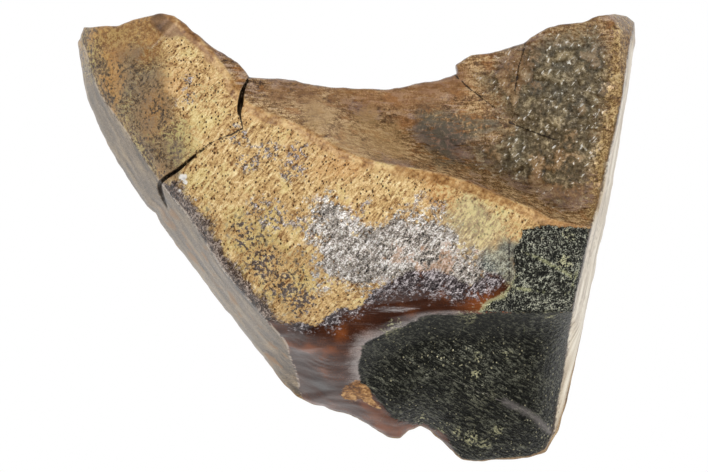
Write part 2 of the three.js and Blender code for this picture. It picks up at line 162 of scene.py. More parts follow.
# the crack in two stretches: x, y, width, depth
cracks = [
    bent([
        [-8.1, 12.6, 0.2, 0.8], [-8.5, 12, 0.22, 1], [-8.8, 11.2, 0.34, 1.4], [-8.9, 10.4, 0.44, 1.7],
        [-9, 9.8, 0.32, 1.3], [-8.9, 9.2, 0.16, 0.4],
    ]),
    bent([
        [-11.3, 7.2, 0.16, 0.3], [-12.7, 6.1, 0.24, 0.9], [-13.8, 5.2, 0.28, 1.1], [-14.9, 4.5, 0.32, 1.2],
        [-15.3, 4, 0.34, 1.2], [-15.1, 3.1, 0.3, 0.9], [-14.8, 2.3, 0.16, 0.3],
    ]),
]


def ease(value, start, end):
    t = np.clip((value - start) / (end - start), 0, 1)
    return t * t * (3 - 2 * t)


def mix(a, b, share):
    return a + (b - a) * share


# how far along the way from a to b each point comes nearest, from 0 to 1, and its distance there
def along(a, b, x, y):
    way = b[:2] - a[:2]
    t = np.clip(((x - a[0]) * way[0] + (y - a[1]) * way[1]) / (way @ way), 0, 1)
    return t, np.hypot(x - a[0] - t * way[0], y - a[1] - t * way[1])


# how far each point lies to the right of a line's way of travel, and the line's height there; the ends of an
# open line run on straight
def beside(line, x, y, closed=False):
    starts, ends = (line, np.roll(line, -1, 0)) if closed else (line[:-1], line[1:])
    gap = np.full(x.shape, np.inf)
    side, height = np.zeros(x.shape), np.zeros(x.shape)
    for n, (a, b) in enumerate(zip(starts, ends)):
        dx, dy = b[:2] - a[:2]
        length = np.hypot(dx, dy)
        first, last = not closed and n == 0, not closed and n == len(starts) - 1
        t = ((x - a[0]) * dx + (y - a[1]) * dy) / length**2
        t = np.clip(t, -np.inf if first else 0, np.inf if last else 1)
        away = np.hypot(x - a[0] - t * dx, y - a[1] - t * dy)
        across = ((x - a[0]) * dy - (y - a[1]) * dx) / length
        nearer = away < gap - form["tieWithin"]
        tied = (np.abs(away - gap) <= form["tieWithin"]) & (np.abs(across) > np.abs(side))
        taken = nearer | tied
        gap = np.where(taken, away, gap)
        side = np.where(taken, across, side)
        height = np.where(taken, mix(a[2], b[2], np.clip(t, 0, 1)), height)
    return np.sign(side) * gap, height


# a seeded number from 0 to 1 for each cell of a lattice
def scattered(i, j, k, seed):
    n = (i * 374761393 + j * 668265263 + k * 2147483647 + seed * 974711) & 0xFFFFFFFF
    n = ((n ^ (n >> 13)) * 1274126177) & 0xFFFFFFFF
    return ((n ^ (n >> 16)) & 0xFFFF) / 0xFFFF


# soft seeded noise from -1 to 1, with lumps about size wide
def cloud(points, size, seed, octaves=1):
    total, strength, most = 0, 1.0, 0
    for octave in range(octaves):
        place = points / (size / 2**octave)
        cell = np.floor(place).astype(np.int64)
        part = place - cell
        part = part * part * (3 - 2 * part)
        value = 0
        for corner in np.ndindex(2, 2, 2):
            share = np.prod(np.where(corner, part, 1 - part), axis=-1)
            value = value + share * scattered(*(cell + corner).T, seed + octave).T
        total = total + strength * (2 * value - 1)
        most += strength
        strength /= 2
    return total / most


def uneven(name, x, y):
    height, size, seed, octaves = unevenness[name]
    return height * cloud(np.stack([x, y, np.zeros_like(x)], -1), size, seed, octaves)


# a face that falls from its line to the rim of the tooth, on the side that lies outward
def flankFace(line, side, bulge, x, y, rim):
    away, height = beside(line, x, y)
    outward = side * away
    breadth = np.maximum(outward + np.maximum(rim["away"], 0), form["edgeRadius"])
    drop = height - rim["height"] - form["rimHeight"]
    fallen = np.minimum(outward / breadth, 1)
    face = height - drop * fallen * mix(1, fallen, bulge)
    inner = outward < 0
    return (
        np.where(inner, height - form["openSlope"] * outward, face),
        np.where(inner, form["openSlope"], drop / breadth),
    )


# a hollow cut into its cover: the lip is from 0, soft, to 1, sharp
def hollowFace(line, side, wall, lip, floor, cover, x, y):
    inside = side * beside(line, x, y)[0]
    drop = cover - floor
    share = np.clip(inside / wall, 0, 1)
    fallen = mix(ease(share, 0, 1), 1 - (1 - share) ** 2, lip)
    outer = inside < 0
    return (
        np.where(outer, cover - form["openSlope"] * inside, cover - drop * fallen),
        np.where(outer, form["openSlope"], drop / wall),
    )


# the larger of two distances, eased into each other where they are close
def blendMax(a, b, radius):
    near = np.maximum(1 - np.abs(a - b) / (radius * 2), 0)
    return np.maximum(a, b) + near**2 * radius / 2


# the tooth's faces as maps over its plan: each has a height and a slope at each place
def makeMaps():
    count = np.ceil((high - low) / form["cell"]).astype(int) + 1
    x, y = np.meshgrid(*(low[a] + np.arange(count[a]) * form["cell"] for a in (0, 1)), indexing="ij")
    away, height = beside(outline, x, y, closed=True)
    rim = {"away": away, "height": height}

    away, height = beside(lobeAxis, x, y)
    breadth = np.where(away > 0, form["lobeCrownSide"], form["lobeRootSide"])
    fallen = breadth * np.tanh(away / breadth)
    lobeSlope = form["lobeFall"] * breadth
    lobeTop = height - form["lobeFall"] * fallen**2
    lobeTop = lobeTop - 0.05 + uneven("lobe", x, y)

    inside = np.minimum(x - form["chipFrom"], form["chipTo"] - y)
    clear = np.maximum(-inside - 0.5, 0) * 4
    chipped = ease(inside + uneven("chipEdge", x, y), -form["chipEdge"], form["chipEdge"])
    chipTop = lobeTop - form["chipDrop"] * chipped + clear

    crownTop, crownSlope = flankFace(brow, 1, form["crownBulge"], x, y, rim)
    radius = mix(form["browRadius"], form["edgeRadius"], ease(x, *changes["brow"]))
    crownTop = -blendMax(-crownTop, -lobeTop, radius)

    toRight = ease(beside(rightEdge, x, y)[0], -3.2, 0)
    rough = ease(x, *changes["lumps"]) * (1 - 0.6 * ease(y, 13, 16))
    lumps = uneven("lumps", x, 1.15 * y) + uneven("smallLumps", x, y)
    saddleLow = form["saddleLow"] + form["saddleCurve"] * (x - form["saddleMiddle"]) ** 2
    saddleLow = saddleLow + form["rightEdgeRise"] * toRight
    saddleFloor = saddleLow + rough * lumps + (1 - rough) * uneven("swell", 0.6 * x, y)
    wall = mix(form["saddleWallLeft"], form["saddleWallRight"], ease(x, *changes["saddleWall"]))
    lip = mix(form["saddleLip"], 1, ease(x, *changes["saddleLip"]))
    saddleTop, saddleSlope = hollowFace(crest, -1, wall, lip, saddleFloor, lobeTop, x, y)

    trough = form["troughLow"] + form["troughSlope"] * (y - form["troughStart"])
    trough = trough + form["troughCurve"] * (x - form["troughMiddle"]) ** 2
    scoopFloor = -blendMax(-trough, form["scoopLow"] - crownTop, form["scoopSoftness"])
    lip = mix(form["scoopLip"], 1, ease(x, *changes["scoopLip"]))
    scoopTop, scoopSlope = hollowFace(scoopRim, 1, form["scoopWall"], lip, scoopFloor, crownTop, x, y)

    tops = [
        (lobeTop, lobeSlope),
        (chipTop, lobeSlope),
        flankFace(leftEdge, 1, form["flankBulge"], x, y, rim),
        flankFace(rightEdge, -1, 0, x, y, rim),
        (crownTop, crownSlope),
        flankFace(fold, 1, form["tipBulge"], x, y, rim),
        (saddleTop, saddleSlope),
        (scoopTop, scoopSlope),
    ]
    under = rim["height"] - form["undersideSlope"] * rim["away"]
    layers = [layer for top in tops for layer in (top[0], 1 / np.hypot(1, top[1]))]
    layers = [*layers, under, form["rimWear"] + uneven("rim", x, y) - rim["away"]]
    return np.stack(layers, -1).astype(np.float32)


# how deep the crack is cut at each place of the plan
def crackDepth(x, y):
    deepest = np.zeros(x.shape)
    for line in cracks:
        for a, b in zip(line[:-1], line[1:]):
            t, gap = along(a, b, x, y)
            opened = np.clip(1 - gap / (mix(a[2], b[2], t) / 2), 0, 1)
            deepest = np.maximum(deepest, opened ** form["crackShape"] * mix(a[3], b[3], t))
    return deepest


# how far points lie outside the tooth, and less than zero inside it, from the layers of the maps at them
def outsideOf(layers, z, cut):
    distance = layers[-1]
    for height, lean in zip(layers[:-2:2], layers[1:-2:2]):
        distance = blendMax(distance, (z + cut - height) * lean, form["edgeRadius"])
    under = (layers[-2] - z) / np.float32(np.hypot(1, form["undersideSlope"]))
    distance = blendMax(distance, under, form["edgeRadius"])
    return blendMax(distance, -z, form["edgeRadius"])


def layersAt(maps, points):
    place = (points[:, :2] - low[:2]) / form["cell"]
    cell = np.floor(place).astype(int)
    part = (place - cell).astype(np.float32)
    rows = maps.reshape(-1, maps.shape[-1])
    total = 0
    for corner in np.ndindex(2, 2):
        share = np.prod(np.where(corner, part, 1 - part), axis=1)
        at = (cell[:, 0] + corner[0]) * maps.shape[1] + cell[:, 1] + corner[1]
        total = total + rows[at] * share[:, None]
    return total.T


# moves points onto the surface in short pulls along the gradient
def seat(maps, points):
    longest, step = 0.25 * form["cell"], form["pullStep"]
    nearCrack = crackDepth(points[:, 0], points[:, 1]) > 0

    def layersAndCut(places):
        cut = np.zeros(len(places), np.float32)
        cut[nearCrack] = crackDepth(places[nearCrack, 0], places[nearCrack, 1])
        return layersAt(maps, places), cut

    for _ in range(form["pulls"]):
        z = points[:, 2].astype(np.float32)
        layers, cut = layersAndCut(points)
        value = outsideOf(layers, z, cut)
        ways = []
        for way in np.eye(3)[:2]:
            aside, asideCut = layersAndCut(points + step * way)
            ways.append(outsideOf(aside, z, asideCut))
        ways.append(outsideOf(layers, z + np.float32(step), cut))
        way = (np.stack(ways, 1) - value[:, None]) / step
        steepness = np.maximum(np.linalg.norm(way, axis=1), 0.5)
        pull = np.clip(value / steepness, -longest, longest) / steepness
        points = points - way * pull[:, None]
    return points


# surface nets: one vertex in each cell that the surface crosses, one quad for each crossed edge of the grid
def net(values):
    inside = values < 0
    shape = np.array(values.shape)
    quads, middles = [], []
    for axis in range(3):
        step, u, v = (np.roll([1, 0, 0], axis + turn) for turn in range(3))
        a = inside[tuple(slice(0, n - s) for n, s in zip(shape, step))]
        b = inside[tuple(slice(s, n) for n, s in zip(shape, step))]
        at = np.argwhere(a != b)
        here, there = values[tuple(at.T)], values[tuple((at + step).T)]
        crossing = at + np.outer(here / (here - there), step)
        cells = np.stack([at, at - u, at - u - v, at - v], 1)
        ids = np.ravel_multi_index(tuple(np.moveaxis(cells, -1, 0)), shape)
        quads.append(np.where((here > 0)[:, None], ids[:, ::-1], ids))
        middles.append(np.repeat(crossing[:, None], 4, 1))
    quads, middles = np.vstack(quads), np.vstack(middles)
    found, index = np.unique(quads, return_inverse=True)
    index = index.reshape(quads.shape)
    share = np.bincount(index.ravel(), minlength=len(found))
    places = [np.bincount(index.ravel(), middles[..., a].ravel(), len(found)) / share for a in range(3)]
    return low + np.stack(places, 1) * form["cell"], index


def evened(points, quads):
    total, links = np.zeros_like(points), np.zeros(len(points))
    for a, b in ((0, 1), (1, 2), (2, 3), (3, 0)):
        for axis in range(3):
            total[:, axis] += np.bincount(quads[:, b], points[quads[:, a], axis], len(points))
        links += np.bincount(quads[:, b], minlength=len(points))
    return total / links[:, None]


def makeNet():
    maps = makeMaps()
    count = maps.shape[:2]
    x, y = (low[a] + np.arange(count[a]) * form["cell"] for a in (0, 1))
    z = low[2] + np.arange(np.ceil((high[2] - low[2]) / form["cell"]) + 1) * form["cell"]
    cut = crackDepth(x[:, None], y[None, :])[:, :, None].astype(np.float32)
    layers = np.moveaxis(maps, -1, 0)[..., None]
    points, quads = net(outsideOf(layers, z.astype(np.float32), cut))
    print(f"net of {len(quads)} quads made")
    for _ in range(form["settling"]):
        points = seat(maps, evened(points, quads))
    return points, quads


def meshOf(name, points, faces):
    mesh = bpy.data.meshes.new(name)
    mesh.vertices.add(len(points))
    mesh.vertices.foreach_set("co", np.asarray(points, np.float32).ravel())
    mesh.loops.add(faces.size)
    mesh.loops.foreach_set("vertex_index", faces.ravel().astype(np.int32))
    mesh.polygons.add(len(faces))
    mesh.polygons.foreach_set("loop_start", np.arange(0, faces.size, faces.shape[1], dtype=np.int32))
    mesh.update(calc_edges=True)
    mesh.validate()
    return mesh


def makeTooth():
    points, quads = makeNet()
    print("net settled")
    tooth = bpy.data.objects.new("fossilTooth", meshOf("fossilTooth", (points + drawingOrigin) * mm, quads))
    bpy.context.scene.collection.objects.link(tooth)
    thin = tooth.modifiers.new("thin", "DECIMATE")
    thin.ratio = form["triangles"] / (2 * len(quads))
    thin.use_collapse_triangulate = True
    bpy.context.view_layer.update()
    tooth.data = bpy.data.meshes.new_from_object(tooth.evaluated_get(bpy.context.evaluated_depsgraph_get()))
    tooth.modifiers.clear()
    tooth.data.shade_smooth()
    print(f"tooth has {len(tooth.data.polygons)} triangles")
    return tooth


tooth = makeTooth()
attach(tooth, "root")
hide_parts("tooth")

# where the finishes lie in the plan: how far the edge wanders, and a closed outline, or spots (x, y, radius)
marks = {
    "scoopBlack": (0.6, [
        [0.6, -11.7], [0.3, -9.9], [0.9, -8.4], [2.2, -7.6], [4.1, -6.9], [5.4, -6.2], [6.7, -6.1],
        [9.7, -6], [13, -5.9], [19, -5.9], [19, -19], [9, -19], [7.5, -16], [5.6, -15.1], [4.6, -15],
        [3, -14.4], [1.9, -13.2], [1.4, -12.4], [1.1, -11.8],
    ]),
    "chipBlack": (0.4, [
        [13.2, 0.5], [14.2, 0.7], [15.3, 0.9], [16.5, 0.7], [20, 0.6], [20, -6.2], [13, -6], [9.8, -6],
        [10.6, -5.1], [11.7, -4.7], [12.2, -4], [12.7, -3.2], [12.5, -2], [12.5, -1.1], [13, -0.5],
    ]),
    "tanPatch": (0.4, [
        [-1, -12.2], [-0.5, -11.7], [0.2, -11.4], [0.9, -11.7], [1.3, -11.9], [1.4, -12.5], [1.5, -13],
        [2.2, -13.8], [1.5, -13.5], [0.5, -13], [-0.3, -13.2], [-1, -12.7],
    ]),
    "crownEnamel": (1.2, [
        [-9, -6.6], [-5.8, -6.7], [-4.5, -6.9], [-2.8, -6.9], [-2, -6.4], [-1.6, -5.9], [0.5, -5.4],
        [1.3, -4.6], [1.4, -4.2], [2.2, -3.7], [4, -2.9], [5.1, -2.7], [6.7, -2.6], [7.8, -3.4], [9.1, -3.8],
        [10.4, -2.9], [11.4, -3.1], [12.2, -3.9], [13, -7], [13, -20], [-9, -20],
    ]),
    "silver": (4.5, [
        [-4.3, 1.1], [-3.6, 2.3], [-2.3, 2.8], [-0.7, 2.3], [-0.2, 1.2], [1.6, 1], [3.6, 1.6], [5.1, 2.3],
        [6.1, 2], [7.1, 0.9], [7.9, -0.3], [9.4, -1.7], [10.7, -2.2], [11.2, -3.6], [9.2, -4.8], [6.7, -4.2],
        [5.1, -4], [3.6, -4.2], [2.2, -4.4], [1.2, -4.2], [0.1, -3.8], [-1.9, -3.7], [-2.8, -3], [-3.4, -2],
        [-2.5, -1.5], [-3.3, -0.3],
    ]),
    "prongBrown": (2.4, [
        [-14.8, 19], [-14.8, 15.5], [-14.9, 13.1], [-14.8, 11.4], [-14, 10], [-13.6, 8.7], [-13, 7.6],
        [-12.8, 6.4], [-14, 4.6], [-18, 3], [-26, 10], [-26, 19],
    ]),
    # the right side of the left prong, where painted shade lies
    "prongSide": (0.7, [
        [-14.6, 15.4], [-13.4, 15.8], [-11.8, 14.7], [-10.2, 13.5], [-8.9, 12.2], [-8, 11.6], [-7, 13],
        [-12, 18], [-15.4, 18.5], [-16.1, 17.1],
    ]),
    "saddleDark": (2, [
        [4.8, 10.1], [6.8, 10.4], [9.2, 9.8], [11.5, 9.3], [11.9, 8.5], [10, 7.6], [8, 6.6], [9.2, 6],
        [10.7, 5.4], [9.1, 5.2], [6.7, 5.6], [5.6, 6.8], [4.7, 8.4],
    ]),
    "rightStrip": (1, [
        [24, 19], [22.2, 14], [21.7, 10], [21.1, 6.8], [20.5, 3.6], [19.5, 1.7], [18.7, 0.6], [18.4, 1.1],
        [18.6, 2.8], [19.1, 5.2], [19.6, 7.6], [19.9, 9.9], [20.1, 12.3], [20.4, 14.7], [20.6, 18],
    ]),
    "flecks": (2.2, [
        [-8, 6.1, 0.8], [-4.8, 5.3, 0.8], [-4.4, 6.5, 0.8], [-7.7, 2.3, 0.8], [-6.4, 1.6, 1.2],
        [-4.2, 1.1, 0.9], [-1.4, 2.3, 0.4], [0.5, 1.7, 0.5], [1, 2.5, 0.4], [4.2, 1.1, 0.7], [6.5, 2.2, 0.5],
        [-17.4, 12.5, 0.5], [-18.6, 14.1, 0.5], [-13, 12.2, 0.4], [-13, 10.9, 0.4], [-14.4, 10.2, 0.5],
        [-14.9, 7.1, 0.6], [-9.1, 7.7, 0.7], [-6.6, 6.7, 0.7], [-8.3, 0.1, 0.9], [-7.2, -2, 1],
        [-5.4, -4.2, 1], [-4.2, -5, 0.9],
    ]),
    "speckle": (1.8, [
        [-8.1, -0.3, 1.2], [-7, -2, 1.6], [-5.8, -3.4, 1.6], [-4.6, -4.6, 1.4], [-8.9, 0.9, 0.8],
        [-3.8, -2.7, 1.4], [-12.1, 1.6, 0.8],
    ]),
    "greyTint": (3, [
        [-16.9, 13.7, 1.3], [-16.7, 11.9, 1.9], [-16, 9.9, 1.9], [-14.8, 6.7, 1.5], [-13.2, 3.6, 1.4],
        [-12.1, 2, 1],
    ]),
    "greenTint": (3.5, [
        [-14, 7.7, 1.1], [-11.7, 11.1, 0.6], [7.3, 3.4, 0.8], [9.7, 3.2, 0.9], [9.4, 1.4, 0.8],
        [10.6, 0.8, 0.9], [11.8, 0.5, 1], [13, -0.2, 0.9], [8.3, 2, 1.4], [11.4, 1.1, 1], [-21.3, 15, 0.5],
        [-21.7, 13.7, 0.4],
    ]),
    "yellow": (2.2, [[7.9, 0.1, 1.6], [9.8, -0.3, 2], [11.4, -0.7, 1.2], [9, 1.1, 1.8]]),
    "blueZone": (1.4, [[11.2, -2, 1.2], [11.8, -3, 1], [10.5, -4.1, 1], [11.9, -1.1, 0.9], [9.5, -5, 0.8]]),
    "prongOrange": (2.6, [
        [-15.3, 16.4, 1.4], [-16.1, 15.1, 1.5], [-18.9, 15.5, 1.6], [-17.9, 16.3, 1.3], [-14.5, 17.1, 1.2],
    ]),
    "purpleBand": (1, [
        [-4, -6.6, 0.8], [-1.8, -6.3, 0.9], [-0.2, -5.2, 0.9], [1.2, -4.2, 1.1], [2.6, -3.6, 1.2],
        [4.2, -3.3, 1.3], [6.2, -3.4, 1.3], [8, -3.9, 1.2], [9.6, -3.7, 1.1], [10.8, -3.6, 0.7],
    ]),
    "rightTip": (1, [[22.6, 17.4, 1.8], [22.8, 15.6, 0.8]]),
    "glints": (0.2, [[-13.4, 4.6, 0.24], [-13.2, 4.2, 0.12], [-12.4, 2.8, 0.08], [-13.7, 3.6, 0.1]]),
    "crumbs": (1, [
        [2.6, -7.4, 0.35], [3.3, -7.2, 0.35], [8.2, -6.2, 0.3], [9.2, -6.2, 0.45], [10.3, -5.5, 0.35],
        [11.6, -4.7, 0.35], [12.1, -4.1, 0.25], [9.3, -16.2, 0.45], [10.5, -16.6, 0.3], [11.4, -15.6, 0.2],
        [8.2, -15.6, 0.25], [7, -15.4, 0.2], [5.4, -14.6, 0.2], [16.4, -2, 0.35], [17, 0, 0.25],
        [15.4, -6.2, 0.1], [17, -13.3, 0.15], [9.6, -11, 0.1], [12, -9.2, 0.1], [9.8, -9.4, 0.15],
    ]),
    "rootTip": (1, [[-22.4, 16, 2.4], [-22, 13.8, 1.8], [-21, 17, 2]]),
    "greySaddle": (2.4, [
        [16.5, 13.6, 1.8], [18.6, 14.4, 1.6], [19.2, 12.3, 1.4], [14.6, 12.2, 1.6], [16.6, 10.4, 1.6],
    ]),
    "tanSaddle": (2.6, [[2, 7.5, 1.6], [3.2, 6.8, 1.2], [-0.3, 7.1, 1.6], [-2.7, 9.3, 1.2], [1.3, 9.2, 1]]),
    "orangeSaddle": (2.6, [
        [3.6, 11.1, 1.8], [1.3, 11.1, 1.6], [6, 11.4, 1.4], [8, 11.9, 1.2], [-3.5, 11.3, 1.2],
        [-5.8, 11.3, 0.9], [-1, 11.2, 1.3],
    ]),
    "lumpySaddle": (2.2, [
        [10.2, 12.4], [12.6, 14.6], [15.6, 15.9], [19, 16.6], [20.6, 13], [19.6, 8.2], [18.6, 2.8],
        [16.2, 2.4], [13.1, 4.4], [9.9, 5.6], [9.2, 6.8], [12.3, 8.4], [11.5, 10.7],
    ]),
}
hairlines = [
    [[-8.9, 9.3], [-8.7, 8.4], [-9.7, 7.9], [-10.6, 7.6], [-11.5, 7.1]],
    [[8, 12.7], [9.2, 11.6], [11, 10.2]],
    [[11.5, 9.3], [12.7, 8.8], [13.9, 8.3], [14.8, 8], [15.9, 7.6]],
    [[13.5, 15.1], [13, 13.3], [12.7, 11.5]],
    [[12.1, -0.9], [12.1, -2.3], [12.2, -3.8]],
]
sheens = [
    [[12, -13.2], [13.4, -13.8], [14.6, -14.6], [15.6, -15.6]],
]
veins = [
    [[13.4, -1.3], [14.8, -1.9], [15.7, -2.4], [16.3, -2.7], [16.9, -3.1]],
    [[12.8, -4.1], [14.5, -4.3], [16.3, -4.6], [17, -4.4], [17.5, -2.9]],
    [[12.7, -3.2], [12.2, -4], [11.7, -4.7], [10.6, -5.1], [9.8, -6]],
]
# how the marks are kept with the mesh
marking = {
    "reach": 3.0,  # mm over which a mark's distance is kept
    "swing": 0.35,  # of each soft noise
    "wanderSize": 1.1,
    "creaseWander": 1.8,
    "underTo": 0.9,  # mm above the underside
}
# the painted sheen: a pale band of painted reflection on the lip round the scoop: its width on the left and
# along the top, and where it ends
scoopLip = {"left": 1.3, "top": 0.35, "narrows": (0.5, 3), "endsRight": (8, 10), "endsLow": (-12, -13)}
# soft noises kept with the mesh: size in mm along and across a way in the plan and up, the angle of that
# way, octaves
washes = {
    "broad": ((3.2, 3.2, 3.2), 0, 2),
    "mid": ((0.9, 0.9, 0.9), 0, 2),
    "ripple": ((3.6, 0.55, 1.2), 0, 1),
    "alongRight": ((3.6, 0.5, 0.5), 76, 2),
    "alongLeft": ((3.6, 0.7, 0.7), -56, 2),
}


# how far inside a closed outline each point lies, and less than zero outside it
def within(shape, x, y):
    shape = np.array(shape, float)
    gap, crossed = np.full(x.shape, np.inf), np.zeros(x.shape, bool)
    for a, b in zip(shape, np.roll(shape, -1, 0)):
        gap = np.minimum(gap, along(a, b, x, y)[1])
        if a[1] != b[1]:
            reached = a[0] + (b[0] - a[0]) * (y - a[1]) / (b[1] - a[1])
            crossed ^= ((a[1] > y) != (b[1] > y)) & (x < reached)
    return np.where(crossed, gap, -gap)


def inSpots(spots, x, y):
    return np.max([radius - np.hypot(x - a, y - b) for a, b, radius in spots], axis=0)


# the side on which each point lies of the nearest of some lines, as a distance
def acrossLines(lines, x, y):
    gap, side = np.full(x.shape, np.inf), np.zeros(x.shape)
    for line in lines:
        for a, b in zip(np.array(line[:-1]), np.array(line[1:])):
            away = along(a, b, x, y)[1]
            across = (x - a[0]) * (b[1] - a[1]) - (y - a[1]) * (b[0] - a[0])
            side = np.where(away < gap, np.where(across < 0, -away, away), side)
            gap = np.minimum(gap, away)
    return side


def markTooth(mesh):
    place = np.zeros(len(mesh.vertices) * 3, np.float32)
    mesh.vertices.foreach_get("co", place)
    place = place.reshape(-1, 3) / mm - drawingOrigin
    x, y, z = place.T
    found = {}
    for seed, (name, (size, angle, octaves)) in enumerate(washes.items()):
        c, s = np.cos(np.radians(angle)), np.sin(np.radians(angle))
        turned = np.stack([x * c + y * s, y * c - x * s, z], 1)
        found[name] = marking["swing"] * cloud(turned / size, 1, 31 + 10 * seed, octaves)
    wander = marking["swing"] * cloud(place, marking["wanderSize"], 71, 3)
    for name, (raggedness, shape) in marks.items():
        found[name] = inSpots(shape, x, y) if len(shape[0]) == 3 else within(shape, x, y)
        found[name] += raggedness * wander
    away, height = beside(outline, x, y, closed=True)
    found["underside"] = height - form["undersideSlope"] * away + marking["underTo"] - z
    found["leftFlank"] = beside(leftEdge, x, y)[0]
    found["creaseBand"] = found["leftFlank"] + marking["creaseWander"] * wander
    found["rightFlank"] = -beside(rightEdge, x, y)[0]
    found["saddle"] = -beside(crest, x, y)[0]
    found["crackCut"] = crackDepth(x, y)
    for name, lines in (("hairline", hairlines), ("vein", veins), ("sheen", sheens)):
        found[name] = acrossLines(lines, x, y)
    # where the painted sheen along the scoop's lip lies: it grows towards the scoop's edge and ends to the
    # right and below
    width = mix(scoopLip["left"], scoopLip["top"], ease(x, *scoopLip["narrows"]))
    ended = ease(x, *scoopLip["endsRight"]) + ease(y, *scoopLip["endsLow"])
    found["lip"] = 1 + found["scoopBlack"] / width - 2 * ended
    for name, value in found.items():
        layer = mesh.attributes.new(name, "FLOAT", "POINT")
        kept = np.clip(value, -marking["reach"], marking["reach"])
        layer.data.foreach_set("value", kept.astype(np.float32))


markTooth(tooth.data)
print("finishes marked out")


# a socket of the material: arithmetic on it adds Math nodes
class Wire:
    def __init__(self, bench, socket):
        self.bench, self.socket = bench, socket

    def math(self, operation, *values):
        sockets = dict(enumerate(values))
        return self.bench.node("ShaderNodeMath", {"operation": operation}, sockets)

    def __add__(self, other):
        return self.math("ADD", self, other)

    def __sub__(self, other):
        return self.math("SUBTRACT", self, other)

    def __mul__(self, other):
        return self.math("MULTIPLY", self, other)

    def __rsub__(self, other):
        return self.math("SUBTRACT", other, self)

    __radd__, __rmul__ = __add__, __mul__

    def most(self, other):
        return self.math("MAXIMUM", self, other)

    def size(self):
        return self.math("ABSOLUTE", self)


# the nodes of a material or of the world
class Bench:
    def __init__(self, owner):
        owner.use_nodes = True
        self.tree = owner.node_tree
        self.noises, self.dressings = {}, {}

    def plug(self, target, value):
        if isinstance(value, Wire):
            self.tree.links.new(value.socket, target)
        else:
            target.default_value = value

    # plugs values into a node that is already there
    def fit(self, name, sockets):
        for socket, value in sockets.items():
            self.plug(self.tree.nodes[name].inputs[socket], value)

    def node(self, kind, settings=None, sockets=None, out=0):
        made = self.tree.nodes.new(kind)
        for name, value in (settings or {}).items():
            if name == "stops":
                for n, (at, colour) in enumerate(value):
                    stop = made.color_ramp.elements[n] if n < 2 else made.color_ramp.elements.new(at)
                    stop.position, stop.color = at, colour
            else:
                setattr(made, name, value)
        for name, value in (sockets or {}).items():
            self.plug(made.inputs[name], value)
        return Wire(self, made.outputs[out])

    def vector(self, operation, sockets):
        return self.node("ShaderNodeVectorMath", {"operation": operation}, sockets)

    # soft noise from 0 to 1 whose lumps are about size mm wide
    def cloud(self, size, seed, roughness, warp, angle):
        place = self.place
        if angle:
            sockets = {"Vector": place, "Angle": angle}
            place = self.node("ShaderNodeVectorRotate", {"rotation_type": "Z_AXIS"}, sockets)
        scales = tuple(1 / s for s in size) if isinstance(size, tuple) else (1 / size,) * 3
        place = self.vector("MULTIPLY", {0: place, 1: scales})
        place = self.vector("ADD", {0: place, 1: (seed, 2 * seed, -seed)})
        sockets = {"Vector": place, "Scale": 1.0, "Detail": 2, "Roughness": roughness, "Distortion": warp}
        return self.node("ShaderNodeTexNoise", {"noise_dimensions": "3D"}, sockets)

    # cells about size mm wide: how far each place is from its cell's middle, in cells, and the cell's number
    def cells(self, size, seed, stretch):
        place = self.vector("MULTIPLY", {0: self.place, 1: tuple(s / size for s in stretch)})
        place = self.vector("ADD", {0: place, 1: (seed, -seed, 2 * seed)})
        settings = {"voronoi_dimensions": "3D", "feature": "F1"}
        made = self.node("ShaderNodeTexVoronoi", settings, {"Vector": place, "Scale": 1.0})
        colour = Wire(self, made.socket.node.outputs["Color"])
        return made, self.node("ShaderNodeSeparateColor", sockets={"Color": colour}, out="Red")

    # the sum of some noises and marks, each as strong as its number
    def woven(self, weights):
        total = None
        for name, weight in weights.items():
            if name not in self.noises:
                self.noises[name] = self.node("ShaderNodeAttribute", {"attribute_name": name}, out="Fac")
            part = self.noises[name] if weight == 1 else self.noises[name] * weight
            total = part if total is None else total + part
        return total

    # 0 below start, 1 above end, and eased between them
    def ease(self, value, start, end):
        if start > end:
            return 1 - self.ease(value, end, start)
        sockets = {"Value": value, "From Min": start, "From Max": end}
        return self.node("ShaderNodeMapRange", {"interpolation_type": "SMOOTHSTEP"}, sockets)

    # 1 where every term has risen, and 0 where one hasn't
    def risen(self, terms):
        total = None
        for start, end, weights in terms:
            part = self.ease(self.woven(weights), start, end)
            total = part if total is None else total * part
        return total

    def blend(self, a, b, share):
        settings = {"data_type": "RGBA", "clamp_factor": True}
        return self.node("ShaderNodeMix", settings, {0: share, 6: a, 7: b}, out=2)

    def between(self, a, b, share):
        return a if a == b else (b - a) * share + a


# a colour given as it looks on a screen, from 0 to 255
def paint(red, green, blue):
    parts = np.array([red, green, blue]) / 255
    return (*np.where(parts < 0.04, parts / 12.92, ((parts + 0.055) / 1.055) ** 2.4), 1.0)


# a sum of noises and marks that is eased from 0 at start to 1 at end
def rise(start, end, **weights):
    return start, end, weights


# a rise at the edge of a mark, which is this wide in mm on both sides and frayed by the shred noise
def inside(mark, width, fray=0.4):
    return rise(-width, width, **{mark: 1, "shred": fray})


# a colour, or a finish by its name, laid over a finish where the terms have risen; depth is in mm
def over(what, share, *terms, depth=0.0, metal=0.0):
    return {"what": what, "share": share, "terms": terms, "depth": depth, "metal": metal}


# noises made in the material: size in mm (or three sizes), seed, roughness, warp, and the turn of their grain
grains = {
    "fine": (0.12, 1, 0.65, 0.0, 0.0),
    "shred": (0.32, 6, 0.6, 0.0, 0.0),
    "streak": ((1.4, 0.3, 0.6), 4, 0.65, 0.3, 0.0),
    "fibre": ((0.2, 0.8, 0.5), 7, 0.6, 0.5, 0.7),
    "strand": ((0.14, 0.9, 0.4), 42, 0.65, 0.6, -1.0),
}
pores = {"size": 0.31, "seed": 5, "stretch": (1.25, 0.85, 1)}
